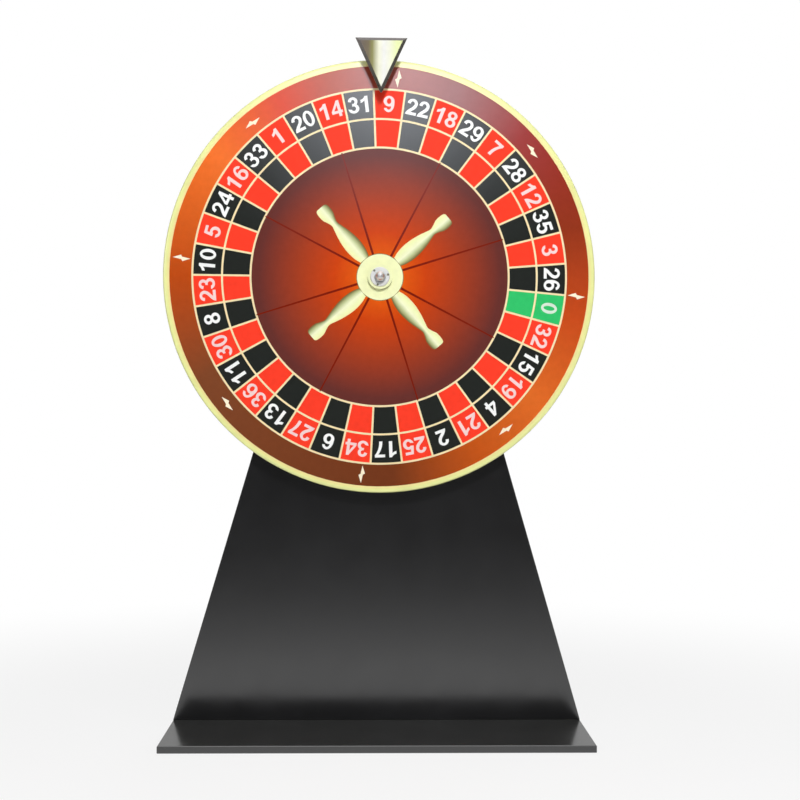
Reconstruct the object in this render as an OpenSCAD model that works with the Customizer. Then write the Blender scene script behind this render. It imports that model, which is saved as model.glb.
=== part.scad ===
// Carnival game wheel: a printed disc that spins on a ball-bearing hub in front of an A-shaped board stand.
// The origin lies on the floor under the middle of the base. +Z is up and the wheel faces -Y.
// All sizes are in millimetres.

/* [Wheel] */
// Outside diameter of the wheel, over its edge band
wheel_d = 600; // [450:5:760]
// Thickness of the wheel's board
disc_t = 10; // [6:0.5:18]
// Thickness of the printed sheet on the board
sheet_t = 0.5; // [0.3:0.1:0.9]
// How far the lips of the edge band reach in from the rim
band_lip = 9; // [6:0.5:16]
// Wall of the edge band at the rim
band_wall = 2; // [1.5:0.1:3]
// Thickness of the lips of the edge band
lip_t = 1; // [0.6:0.1:2]
// Radius of the rounded corners of the edge band
band_round = 3; // [1:0.5:3.5]
// Gap between the board and the wall of the edge band
band_clear = 0.4; // [0.3:0.1:0.8]

/* [Stand] */
// Width of the base and of the foot of the panel
base_w = 580; // [440:5:760]
// Depth of the base, front to back
base_depth = 340; // [300:5:460]
// Thickness of the base board
base_t = 10; // [8:0.5:20]
// Bevel along the edges of the boards
board_bevel = 0.8; // [0.4:0.1:1.5]
// Thickness of the back panel
panel_t = 10; // [8:0.5:20]
// Width of the top edge of the panel
panel_top_w = 24; // [24:1:60]
// Height of the wheel's axis above the floor
axis_h = 636.5; // [480:0.5:800]
// Gap between the panel and the back of the wheel's board
wheel_gap = 30; // [24:1:60]

/* [Gussets] */
// Height of the gussets behind the panel
gusset_h = 420; // [300:5:500]
// Depth of the gussets at the foot
gusset_depth = 125; // [100:1:140]
// Thickness of the gusset boards
gusset_t = 10; // [8:0.5:18]
// Depth of the gussets at the top
gusset_tip = 24; // [16:1:60]
// Height of the blunt toe at the rear
gusset_toe = 14; // [6:1:40]
// Distance between the middles of the two gussets
gusset_pitch = 240; // [160:5:300]

/* [Brackets] */
// Length of each leg of an angle bracket
bracket_leg = 32; // [28:1:40]
// Width of an angle bracket
bracket_w = 18; // [12:1:30]
// Thickness of the bracket steel
bracket_t = 2; // [1.5:0.1:3]
// Inside radius of the bend
bracket_bend = 2; // [1:0.5:4]
// Height of the lower brackets above the base
lower_bracket_h = 90; // [70:1:130]
// Distance of the upper brackets below the top of the gussets
upper_bracket_drop = 120; // [90:1:140]
// Distance of the inner bracket hole from the corner
bracket_hole_near = 12; // [11:0.5:14]
// Distance of the outer bracket hole from the end of its leg
bracket_hole_end = 7; // [5:0.5:9]

/* [Screws] */
// Diameter of the screws through the base
base_screw_d = 5; // [3:0.5:6]
// Head diameter of the screws through the base
base_screw_head = 9.5; // [7:0.5:12]
// Length of the screws through the base
base_screw_l = 45; // [30:1:60]
// How far their heads lie below the face of the base
base_screw_sink = 0.4; // [0.2:0.1:1]
// Number of screws from the base into the panel
panel_screw_count = 5; // [2:1:8]
// Distance of the end screws from the corners of the panel
panel_screw_inset = 50; // [30:1:90]
// Distance of the gusset screws from the ends of a gusset
gusset_screw_inset = 30; // [20:1:45]
// Diameter of the bracket screws
bracket_screw_d = 3.5; // [2.5:0.1:4.5]
// Head diameter of the bracket screws
bracket_screw_head = 7; // [6:0.1:8]
// Head height of the pan-head screws
pan_head_h = 2.4; // [1.5:0.1:3.5]
// Board left in front of the tip of a short screw
screw_skin = 2; // [1:0.1:3]

/* [Pointer] */
// Width of the pointer at its top edge
pointer_w = 70.5; // [50:0.5:110]
// Height of the pointer
pointer_h = 73.5; // [60:0.5:120]
// Thickness of the pointer plate
pointer_t = 5; // [4:0.5:10]
// Width of the blunt tip
pointer_tip_w = 2.4; // [1:0.1:6]
// Width of the beveled black border around the gold face
pointer_border = 4; // [2:0.5:9]
// How far that border slopes back from the gold face
pointer_slope = 2; // [0.5:0.5:3.5]
// Thickness of the gold face
pointer_face_t = 0.4; // [0.2:0.1:1]
// Gap between the printed sheet and the back of the pointer
pointer_gap = 33.5; // [5:0.5:40]
// Height of the pointer's top edge above the rim
pointer_rise = 21.5; // [20:0.5:60]
// Drop from the pointer's top edge to the top of the panel
panel_top_drop = 3; // [2:0.5:4]
// Gap between the rim and the spacer above it
rim_clear = 4; // [2:0.5:5]
// Drop from the top of the panel to the top of the spacer
spacer_drop = 1; // [0:0.5:2]
// Width of the spacer
spacer_w = 24; // [23:1:30]
// Diameter of the pointer screws
pointer_screw_d = 5; // [3:0.5:5]
// Head diameter of the pointer screws
pointer_screw_head = 9; // [7:0.5:9.5]
// Distance between the two pointer screws
pointer_screw_pitch = 12; // [11:0.5:14]
// Outside diameter of the pointer washers
pointer_washer_d = 10; // [8:0.5:10.5]
// Thickness of the pointer washers
pointer_washer_t = 1; // [0.6:0.1:2]

/* [Axle] */
// Diameter of the axle bolt
axle_d = 8; // [6:0.5:9]
// Distance across the flats of the nuts and the bolt head
hex_af = 13; // [12.5:0.5:19]
// Height of the bolt head
bolt_head_h = 5.3; // [4:0.1:9]
// Height of the nut in front of the panel
nut_h = 6.5; // [4:0.1:10]
// Thickness of the axle washers
washer_t = 1.6; // [1:0.1:3]
// Outside diameter of the wide washers on the panel
panel_washer_d = 24; // [20:1:40]
// Outside diameter of the washer under the acorn nut
front_washer_d = 16; // [14:0.5:22]
// Height of the hexagon of the acorn nut
acorn_hex_h = 7; // [5:0.1:10]
// Straight neck between hexagon and dome of the acorn nut
acorn_neck = 1.8; // [0.5:0.1:4]
// Gap between the turning cover and the fixed washer
cover_clear = 1; // [0.4:0.1:3]

/* [Bearings] */
// Outside diameter of the bearings
bearing_od = 19; // [18:0.5:26]
// Width of the bearings
bearing_w = 6; // [6:0.5:9]
// Diameter of the balls
ball_d = 3; // [2.4:0.1:3.2]
// Number of balls in each bearing
ball_count = 8; // [5:1:9]
// Radial clearance between a ball and its race
race_clear = 0.05; // [0.03:0.01:0.1]
// Gap between the shoulders of the inner and the outer ring
ring_gap = 1.7; // [1.6:0.1:2]
// Radial width of the ball cages
cage_w = 1; // [0.8:0.1:1]
// Clearance of a ball in its cage pocket
pocket_clear = 0.08; // [0.05:0.01:0.15]
// Thickness of the bearing shields
shield_t = 0.25; // [0.2:0.05:0.4]
// How far the shields lie inside the faces of the bearing
shield_inset = 0.3; // [0.2:0.05:0.4]
// How far the shields reach into the outer ring
shield_bite = 0.5; // [0.3:0.1:0.6]

/* [Hub] */
// Wall of the hub barrel around the bearings
hub_wall = 7.5; // [7:0.5:14]
// How far the barrel stands in front of the printed sheet
hub_proud = 8; // [4:0.5:20]
// Width of the shoulder that each bearing seats against
hub_shoulder = 1.2; // [0.8:0.1:1.6]
// Depth of the rear bearing inside the flange
rear_bearing_inset = 1; // [0:0.1:2]
// Thickness of the hub flange
flange_t = 4; // [3:0.5:8]
// Radial distance from the barrel to the flange screws
flange_screw_step = 13; // [9:0.5:30]
// Radial distance from the flange screws to the flange edge
flange_margin = 10; // [6:0.5:20]
// Number of flange screws
hub_screw_count = 6; // [3:1:8]
// Diameter of the flange screws
hub_screw_d = 4; // [3:0.5:5]
// Head diameter of the flange screws
hub_screw_head = 8; // [6:0.5:9]
// Thickness of the bearing cover
cover_t = 2.5; // [1.5:0.1:5]
// Bevel along the edge of the bearing cover
cover_bevel = 0.6; // [0.2:0.1:1]
// Radial distance from the bearing to the cover screws
cover_screw_step = 1.9; // [1.5:0.1:3]
// Radial distance from the cover screws to the cover edge
cover_margin = 2; // [1.7:0.1:3]
// Number of cover screws
cover_screw_count = 3; // [3:1:6]
// Turn of the first cover screw from the horizontal
cover_screw_turn = 14; // [0:1:120]
// Diameter of the cover screws
cover_screw_d = 2; // [1.6:0.1:2.5]
// Head diameter of the cover screws
cover_screw_head = 3.2; // [2.6:0.1:3.4]
// Length of the cover screws
cover_screw_l = 8; // [5:0.5:12]

/* [Hidden] */
$fn = 96;
// Radial clearance of every screw, sleeve and ring in its seat
fit = 0.05;
// Running clearance beside the bearing shields and cages
run_clear = 0.25;
// Overlap of a cutting tool past the face that it cuts
cut = 1;
// Flat steps that make up a rounded corner of the edge band
corner_steps = 5;

// Stations along the axle, measured forward from the front face of the panel
disc_front = wheel_gap + disc_t;
sheet_front = disc_front + sheet_t;
flange_rear = wheel_gap - flange_t;
rear_bearing_mid = flange_rear + rear_bearing_inset + bearing_w / 2;
hub_front = sheet_front + hub_proud;
front_bearing_mid = hub_front - bearing_w / 2;
cover_front = hub_front + cover_t;
washer_rear = cover_front + cover_clear;
acorn_rear = washer_rear + washer_t;
pointer_rear = sheet_front + pointer_gap;
panel_nut_front = washer_t + nut_h;

// Heights above the floor
rim_top = axis_h + wheel_d / 2;
pointer_top = rim_top + pointer_rise;
panel_top = pointer_top - panel_top_drop;
spacer_bottom = rim_top + rim_clear;
spacer_top = panel_top - spacer_drop;
pointer_screw_h = (spacer_bottom + spacer_top) / 2;

// Bearing radii
pitch_r = (axle_d + bearing_od) / 4;
inner_ring_r = pitch_r - ring_gap / 2;
outer_ring_r = pitch_r + ring_gap / 2;
shield_r = outer_ring_r + shield_bite;
cage_reach = bearing_w / 2 - shield_inset - shield_t - run_clear;

// Hub radii
barrel_r = bearing_od / 2 + hub_wall;
hub_screw_r = barrel_r + flange_screw_step;
flange_r = hub_screw_r + flange_margin;
cover_screw_r = bearing_od / 2 + cover_screw_step;
cover_r = cover_screw_r + cover_margin;

// Rim radii
disc_r = wheel_d / 2 - band_wall - band_clear;
lip_r = wheel_d / 2 - band_lip;

// Half of the pointer's tip angle
pointer_lean = atan2((pointer_w - pointer_tip_w) / 2, pointer_h);

// Bracket hole distances from the corner
bracket_holes = [bracket_hole_near, bracket_leg - bracket_hole_end];
bracket_heights = [base_t + lower_bracket_h, base_t + gusset_h - upper_bracket_drop];

// Colours of the real materials
black_board = "#26272a";
pale_gold = "#e6eda8";
steel = "#b9bcc0";
bright_steel = "#d8dade";
zinc = "#c3c3b8";

// Places and shared shapes

// Frame on the front face of the panel: x to the right, y up from the floor, z forward
module in_front() {
    translate([0, -panel_t / 2, 0]) rotate([90, 0, 0]) children();
}

// The same frame, centred on the axle
module on_axle() {
    in_front() translate([0, axis_h, 0]) children();
}

// Copies turned around the axle
module around(count, radius, turn = 0) {
    for (i = [0 : count - 1]) {
        rotate([0, 0, turn + i * 360 / count]) translate([radius, 0, 0]) children();
    }
}

// Ring or sleeve between two stations
module sleeve(outer_r, inner_r, from, to) {
    translate([0, 0, from]) difference() {
        cylinder(r = outer_r, h = to - from);
        translate([0, 0, -cut]) cylinder(r = inner_r, h = to - from + 2 * cut);
    }
}

// Board with beveled edges, cut to the convex outline that is given
module board(thickness) {
    hull() {
        linear_extrude(thickness) offset(delta = -board_bevel) children();
        translate([0, 0, board_bevel]) linear_extrude(thickness - 2 * board_bevel) children();
    }
}

// Points along a quarter-round corner
function quarter_round(x, y, radius, from) = [
    for (i = [0 : corner_steps])
        let (turn = from + i * 90 / corner_steps) [x + radius * cos(turn), y + radius * sin(turn)]
];

// Hexagon with both ends turned down, as on a bolt head or a nut
module hexagon(from, to) {
    corner_r = hex_af / 2 / cos(30);
    face_r = hex_af / 2 * 0.97;
    turned = (corner_r - face_r) * tan(30);
    height = to - from;
    translate([0, 0, from]) intersection() {
        cylinder(r = corner_r, h = height, $fn = 6);
        rotate_extrude() polygon([
            [0, 0], [face_r, 0], [corner_r, turned],
            [corner_r, height - turned], [face_r, height], [0, height]
        ]);
    }
}

// Pan-head screw along +z with the underside of its head at z = 0
module pan_screw(d, head_d, length) {
    slot_w = d * 0.25;
    slot_depth = pan_head_h * 0.5;
    difference() {
        rotate_extrude() polygon([
            [0, -pan_head_h], [head_d * 0.32, -pan_head_h], [head_d / 2, -pan_head_h * 0.4],
            [head_d / 2, 0], [d / 2, 0], [d / 2, length - d], [0, length]
        ]);
        for (turn = [0, 90]) {
            rotate([0, 0, turn]) translate([-head_d / 4, -slot_w / 2, -pan_head_h - cut])
                cube([head_d / 2, slot_w, slot_depth + cut]);
        }
    }
}

// Hole for the shank of a pan-head screw
module pan_hole(d, length) {
    translate([0, 0, -cut]) cylinder(r = d / 2 + fit, h = length + cut + fit);
}

// Countersunk screw along +z with the face of its head at z = 0, grown by a clearance for its hole
module countersunk(grow = 0) {
    head_r = base_screw_head / 2 + grow;
    shank_r = base_screw_d / 2 + grow;
    rotate_extrude() polygon([
        [0, 0], [head_r, 0], [shank_r, head_r - shank_r],
        [shank_r, base_screw_l - base_screw_d], [0, base_screw_l + grow]
    ]);
}

// Screws of the base: a row into the panel and two into each gusset
module at_base_screws() {
    row_w = base_w - 2 * panel_screw_inset;
    for (i = [0 : panel_screw_count - 1]) {
        translate([-row_w / 2 + i * row_w / (panel_screw_count - 1), 0, base_screw_sink]) children();
    }
    for (side = [-1, 1], along = [gusset_screw_inset, gusset_depth - gusset_screw_inset]) {
        translate([side * gusset_pitch / 2, panel_t / 2 + along, base_screw_sink]) children();
    }
}

module base_screw_holes() {
    at_base_screws() {
        countersunk(fit);
        translate([0, 0, -base_screw_sink - cut])
            cylinder(r = base_screw_head / 2 + fit, h = base_screw_sink + cut);
    }
}

// Corner of each angle bracket, inside a gusset: x runs along the panel, y along the gusset
module at_brackets(side) {
    for (height = bracket_heights) {
        translate([side * (gusset_pitch - gusset_t) / 2, panel_t / 2, height])
            mirror([side > 0 ? 1 : 0, 0, 0]) children();
    }
}

module at_panel_leg_holes() {
    for (along = bracket_holes) translate([along, bracket_t, 0]) rotate([90, 0, 0]) children();
}

module at_gusset_leg_holes() {
    for (along = bracket_holes) translate([bracket_t, along, 0]) rotate([0, -90, 0]) children();
}

// Square with one rounded corner at the origin
module rounded_corner(size, radius) {
    translate([radius, 0]) square([size - radius, size]);
    translate([0, radius]) square([size, size - radius]);
    translate([radius, radius]) circle(r = radius);
}

module angle_bracket() {
    difference() {
        translate([0, 0, -bracket_w / 2]) linear_extrude(bracket_w) difference() {
            rounded_corner(bracket_leg, bracket_bend + bracket_t);
            translate([bracket_t, bracket_t]) rounded_corner(bracket_leg, bracket_bend);
        }
        at_panel_leg_holes() pan_hole(bracket_screw_d, bracket_t + cut);
        at_gusset_leg_holes() pan_hole(bracket_screw_d, bracket_t + cut);
    }
}

// Pointer screws, seen from the rear of their washers
module at_pointer_screws() {
    for (side = [-1, 1]) {
        in_front() translate([
            side * pointer_screw_pitch / 2, pointer_screw_h, -panel_t - pointer_washer_t
        ]) children();
    }
}

pointer_screw_l = pointer_washer_t + panel_t + pointer_rear + pointer_t - screw_skin;

module pointer_screw_holes() {
    at_pointer_screws() pan_hole(pointer_screw_d, pointer_screw_l);
}

// Stand

module base_board() {
    color(black_board) difference() {
        board(base_t) square([base_w, base_depth], center = true);
        base_screw_holes();
    }
}

module back_panel() {
    color(black_board) difference() {
        in_front() translate([0, 0, -panel_t]) board(panel_t) polygon([
            [-base_w / 2, base_t], [base_w / 2, base_t],
            [panel_top_w / 2, panel_top], [-panel_top_w / 2, panel_top]
        ]);
        on_axle() translate([0, 0, -panel_t - cut]) cylinder(r = axle_d / 2 + fit, h = panel_t + 2 * cut);
        base_screw_holes();
        pointer_screw_holes();
        for (side = [-1, 1]) {
            at_brackets(side) at_panel_leg_holes()
                pan_hole(bracket_screw_d, bracket_t + panel_t - screw_skin);
        }
    }
}

module gusset(side) {
    rear = panel_t / 2;
    color(black_board) difference() {
        translate([side * gusset_pitch / 2 - gusset_t / 2, 0, base_t]) rotate([90, 0, 90])
            board(gusset_t) polygon([
                [rear, 0], [rear + gusset_depth, 0], [rear + gusset_depth, gusset_toe],
                [rear + gusset_tip, gusset_h], [rear, gusset_h]
            ]);
        base_screw_holes();
        at_brackets(side) at_gusset_leg_holes()
            pan_hole(bracket_screw_d, bracket_t + gusset_t - screw_skin);
    }
}

module gusset_left() gusset(-1);

module gusset_right() gusset(1);

module gusset_brackets() {
    color(zinc) for (side = [-1, 1]) at_brackets(side) angle_bracket();
}

module bracket_screws() {
    color(zinc) for (side = [-1, 1]) at_brackets(side) {
        at_panel_leg_holes()
            pan_screw(bracket_screw_d, bracket_screw_head, bracket_t + panel_t - screw_skin);
        at_gusset_leg_holes()
            pan_screw(bracket_screw_d, bracket_screw_head, bracket_t + gusset_t - screw_skin);
    }
}

module base_screws() {
    color(zinc) at_base_screws() countersunk();
}

// Pointer

// The gold triangle keeps the border's width to all three edges of the plate
module gold_outline() {
    side_inset = pointer_border / cos(pointer_lean);
    top = pointer_top - pointer_border;
    half_w = pointer_w / 2 - pointer_border * tan(pointer_lean) - side_inset;
    polygon([[-half_w, top], [0, top - half_w / tan(pointer_lean)], [half_w, top]]);
}

// Plate whose border slopes back on all sides of the gold face
module pointer_plate() {
    tip = pointer_top - pointer_h;
    color(black_board) difference() {
        in_front() translate([0, 0, pointer_rear]) hull() {
            linear_extrude(pointer_t - pointer_slope) polygon([
                [-pointer_w / 2, pointer_top], [-pointer_tip_w / 2, tip],
                [pointer_tip_w / 2, tip], [pointer_w / 2, pointer_top]
            ]);
            linear_extrude(pointer_t) gold_outline();
        }
        pointer_screw_holes();
    }
}

module pointer_face() {
    color(pale_gold) in_front() translate([0, 0, pointer_rear + pointer_t])
        linear_extrude(pointer_face_t) gold_outline();
}

module pointer_spacer() {
    color(black_board) difference() {
        in_front() translate([-spacer_w / 2, spacer_bottom, 0])
            cube([spacer_w, spacer_top - spacer_bottom, pointer_rear]);
        pointer_screw_holes();
    }
}

module pointer_screws() {
    color(zinc) at_pointer_screws() pan_screw(pointer_screw_d, pointer_screw_head, pointer_screw_l);
}

module pointer_washers() {
    color(zinc) at_pointer_screws()
        sleeve(pointer_washer_d / 2, pointer_screw_d / 2 + fit, 0, pointer_washer_t);
}

// Axle

module axle_bolt() {
    head_front = -panel_t - washer_t;
    color(zinc) on_axle() {
        hexagon(head_front - bolt_head_h, head_front);
        translate([0, 0, head_front]) cylinder(r = axle_d / 2, h = acorn_rear + acorn_hex_h - head_front);
    }
}

module rear_washer() {
    color(zinc) on_axle() sleeve(panel_washer_d / 2, axle_d / 2 + fit, -panel_t - washer_t, -panel_t);
}

module panel_washer() {
    color(zinc) on_axle() sleeve(panel_washer_d / 2, axle_d / 2 + fit, 0, washer_t);
}

module panel_nut() {
    color(zinc) on_axle() difference() {
        hexagon(washer_t, panel_nut_front);
        translate([0, 0, washer_t - cut]) cylinder(r = axle_d / 2 + fit, h = nut_h + 2 * cut);
    }
}

// Sleeves that clamp the inner rings take the outside diameter of the rings
module axle_spacer() {
    color(steel) on_axle()
        sleeve(inner_ring_r, axle_d / 2 + fit, panel_nut_front, rear_bearing_mid - bearing_w / 2);
}

module bearing_spacer() {
    color(steel) on_axle()
        sleeve(inner_ring_r, axle_d / 2 + fit, rear_bearing_mid + bearing_w / 2, hub_front - bearing_w);
}

module front_collar() {
    color(steel) on_axle() sleeve(inner_ring_r, axle_d / 2 + fit, hub_front, washer_rear);
}

module front_washer() {
    color(bright_steel) on_axle() sleeve(front_washer_d / 2, axle_d / 2 + fit, washer_rear, acorn_rear);
}

module acorn_nut() {
    dome_r = hex_af / 2 * 0.95;
    dome_rear = acorn_rear + acorn_hex_h;
    color(bright_steel) on_axle() difference() {
        union() {
            hexagon(acorn_rear, dome_rear);
            translate([0, 0, dome_rear - cut]) cylinder(r = dome_r, h = acorn_neck + cut);
            translate([0, 0, dome_rear + acorn_neck]) sphere(r = dome_r);
        }
        translate([0, 0, acorn_rear - cut]) cylinder(r = axle_d / 2 + fit, h = acorn_hex_h + cut + fit);
    }
}

// Bearings

module at_bearing(mid) {
    on_axle() translate([0, 0, mid]) children();
}

// Round groove that the balls run in
module race() {
    rotate_extrude() translate([pitch_r, 0]) circle(d = ball_d + 2 * race_clear);
}

module inner_ring(mid) {
    color(bright_steel) at_bearing(mid) difference() {
        sleeve(inner_ring_r, axle_d / 2 + fit, -bearing_w / 2, bearing_w / 2);
        race();
    }
}

module outer_ring(mid) {
    seat = shield_inset + shield_t;
    color(bright_steel) at_bearing(mid) difference() {
        sleeve(bearing_od / 2, outer_ring_r, -bearing_w / 2, bearing_w / 2);
        race();
        for (end = [0, 1]) mirror([0, 0, end]) translate([0, 0, bearing_w / 2 - seat])
            cylinder(r = shield_r + fit, h = seat + cut);
    }
}

module balls(mid) {
    color(bright_steel) at_bearing(mid) around(ball_count, pitch_r) sphere(d = ball_d);
}

// Crown cage: a ring beside the balls with a round pocket for each
module cage(mid) {
    color(zinc) at_bearing(mid) difference() {
        sleeve(pitch_r + cage_w / 2, pitch_r - cage_w / 2, -cage_reach, -run_clear);
        around(ball_count, pitch_r) sphere(r = ball_d / 2 + pocket_clear);
    }
}

module rear_inner_ring() inner_ring(rear_bearing_mid);

module front_inner_ring() inner_ring(front_bearing_mid);

module rear_outer_ring() outer_ring(rear_bearing_mid);

module front_outer_ring() outer_ring(front_bearing_mid);

module rear_balls() balls(rear_bearing_mid);

module front_balls() balls(front_bearing_mid);

module rear_cage() cage(rear_bearing_mid);

module front_cage() cage(front_bearing_mid);

// Two thin rings in each outer ring, clear of the inner ring
module bearing_shields() {
    outer_end = bearing_w / 2 - shield_inset;
    color(steel) for (mid = [rear_bearing_mid, front_bearing_mid], end = [0, 1]) {
        at_bearing(mid) mirror([0, 0, end])
            sleeve(shield_r, inner_ring_r + run_clear, outer_end - shield_t, outer_end);
    }
}

// Wheel

module at_hub_screws() {
    on_axle() translate([0, 0, flange_rear]) around(hub_screw_count, hub_screw_r, 30) children();
}

hub_screw_l = flange_t + disc_t - screw_skin;

// Cover screws point to the rear, with their heads sunk flush in the cover
module at_cover_screws() {
    on_axle() translate([0, 0, cover_front]) around(cover_screw_count, cover_screw_r, cover_screw_turn)
        rotate([180, 0, 0]) children();
}

module cover_screw_hole() {
    head_h = cover_t / 2;
    translate([0, 0, -cut]) cylinder(r = cover_screw_head / 2 + fit, h = head_h + cut);
    cylinder(r = cover_screw_d / 2 + fit, h = cover_screw_l + fit);
}

module wheel_disc() {
    color(black_board) difference() {
        on_axle() sleeve(disc_r, barrel_r + fit, wheel_gap, disc_front);
        at_hub_screws() pan_hole(hub_screw_d, hub_screw_l);
    }
}

module face_sheet() {
    color("#c8442c") on_axle() sleeve(lip_r - fit, barrel_r + fit, disc_front, sheet_front);
}

// U-shaped trim around the rim: a rounded band with a slot for the board
module edge_band() {
    rear = wheel_gap - lip_t;
    front = disc_front + lip_t;
    corner_r = wheel_d / 2 - band_round;
    slot_r = wheel_d / 2 - band_wall;
    color(pale_gold) on_axle() rotate_extrude() polygon(concat(
        [[lip_r, rear]],
        quarter_round(corner_r, rear + band_round, band_round, -90),
        quarter_round(corner_r, front - band_round, band_round, 0),
        [[lip_r, front], [lip_r, disc_front], [slot_r, disc_front], [slot_r, wheel_gap], [lip_r, wheel_gap]]
    ));
}

// Flanged barrel with a bearing seat at each end
module hub_housing() {
    seat_r = bearing_od / 2 + fit;
    shoulder_r = bearing_od / 2 - hub_shoulder;
    color(pale_gold) difference() {
        on_axle() rotate_extrude() polygon([
            [seat_r, flange_rear], [flange_r, flange_rear], [flange_r, wheel_gap], [barrel_r, wheel_gap],
            [barrel_r, hub_front], [seat_r, hub_front], [seat_r, hub_front - bearing_w],
            [shoulder_r, hub_front - bearing_w], [shoulder_r, rear_bearing_mid + bearing_w / 2],
            [seat_r, rear_bearing_mid + bearing_w / 2]
        ]);
        at_hub_screws() pan_hole(hub_screw_d, flange_t + cut);
        at_cover_screws() cover_screw_hole();
    }
}

module hub_screws() {
    color(zinc) at_hub_screws() pan_screw(hub_screw_d, hub_screw_head, hub_screw_l);
}

// Ring that holds the front bearing in the barrel
module bearing_cover() {
    bore_r = inner_ring_r + ring_gap / 2;
    color(bright_steel) difference() {
        on_axle() rotate_extrude() polygon([
            [bore_r, hub_front], [cover_r, hub_front], [cover_r, cover_front - cover_bevel],
            [cover_r - cover_bevel, cover_front], [bore_r, cover_front]
        ]);
        at_cover_screws() cover_screw_hole();
    }
}

module cover_screws() {
    head_h = cover_t / 2;
    socket_d = cover_screw_d * 0.75;
    color(steel) at_cover_screws() difference() {
        rotate_extrude() polygon([
            [0, 0], [cover_screw_head / 2, 0], [cover_screw_head / 2, head_h], [cover_screw_d / 2, head_h],
            [cover_screw_d / 2, cover_screw_l], [0, cover_screw_l]
        ]);
        translate([0, 0, -cut]) cylinder(d = socket_d, h = head_h * 0.8 + cut, $fn = 6);
    }
}

base_board();
back_panel();
gusset_left();
gusset_right();
gusset_brackets();
bracket_screws();
base_screws();
pointer_plate();
pointer_face();
pointer_spacer();
pointer_screws();
pointer_washers();
axle_bolt();
rear_washer();
panel_washer();
panel_nut();
axle_spacer();
rear_inner_ring();
bearing_spacer();
front_inner_ring();
front_collar();
front_washer();
acorn_nut();
wheel_disc();
face_sheet();
edge_band();
hub_housing();
hub_screws();
rear_outer_ring();
front_outer_ring();
bearing_shields();
bearing_cover();
cover_screws();
rear_balls();
front_balls();
rear_cage();
front_cage();
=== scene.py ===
"""Looks of a carnival game wheel: a printed dial, finishes, a studio stage and a camera."""

import math

import bmesh
import bpy
from mathutils import Matrix, Vector


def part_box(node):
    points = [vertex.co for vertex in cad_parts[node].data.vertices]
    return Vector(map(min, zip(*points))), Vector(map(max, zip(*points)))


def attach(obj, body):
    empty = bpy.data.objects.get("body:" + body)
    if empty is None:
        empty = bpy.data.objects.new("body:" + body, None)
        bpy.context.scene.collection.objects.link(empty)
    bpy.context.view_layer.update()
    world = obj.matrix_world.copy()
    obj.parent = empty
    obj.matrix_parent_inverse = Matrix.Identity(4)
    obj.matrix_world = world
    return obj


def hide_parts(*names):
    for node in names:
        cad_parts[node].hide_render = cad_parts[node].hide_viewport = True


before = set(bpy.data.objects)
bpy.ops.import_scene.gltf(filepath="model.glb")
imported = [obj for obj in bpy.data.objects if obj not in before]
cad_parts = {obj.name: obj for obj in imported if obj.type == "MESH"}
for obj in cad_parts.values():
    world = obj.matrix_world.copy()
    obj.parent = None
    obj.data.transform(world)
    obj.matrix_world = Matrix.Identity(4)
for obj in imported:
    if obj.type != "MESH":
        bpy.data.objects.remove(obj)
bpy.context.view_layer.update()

bl_info = {
    "name": "Game Wheel Looks",
    "version": (1, 0, 0),
    "blender": (4, 5, 0),
    "location": "3D View > Sidebar > Game Wheel",
    "description": "Prints the dial of a carnival game wheel, finishes its pieces and sets a studio stage",
    "category": "Object",
}

# Shared values

POCKET_ORDER = (
    0, 32, 15, 19, 4, 21, 2, 25, 17, 34, 6, 27, 13, 36, 11, 30, 8, 23, 10,
    5, 24, 16, 33, 1, 20, 14, 31, 9, 22, 18, 29, 7, 28, 12, 35, 3, 26,
)
POCKET_STEP = math.tau / len(POCKET_ORDER)
GREEN_POCKET = 0
SPIN_STEPS_PER_POCKET = 8


def mm(length):
    """Millimetres as metres."""
    return length / 1000


def per_metre(size):
    """Texture scale that gives features of a size in millimetres."""
    return 1000 / size


def linear(code):
    """Linear colour of an sRGB hex code."""
    channels = [int(code[i:i + 2], 16) / 255 for i in (1, 3, 5)]
    curve = [c / 12.92 if c <= 0.04045 else ((c + 0.055) / 1.055) ** 2.4 for c in channels]
    return (*curve, 1.0)


sheet_low, sheet_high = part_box("face_sheet")
nut_low, nut_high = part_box("acorn_nut")
pointer_low, pointer_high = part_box("pointer_plate")
AXIS_HEIGHT = (nut_low.z + nut_high.z) / 2
SHEET_THICKNESS = sheet_high.y - sheet_low.y
SHEET_RADIUS = (sheet_high.x - sheet_low.x) / 2
# Hole of the sheet, around the barrel of the hub
HUB_RADIUS = mm(17.05)

# From the dial's own plane, x to the right, y up and z towards the player, to the place of the sheet's face
DIAL_PLACE = Matrix.Translation((0, sheet_low.y, AXIS_HEIGHT)) @ Matrix.Rotation(math.pi / 2, 4, "X")


# Settings

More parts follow.
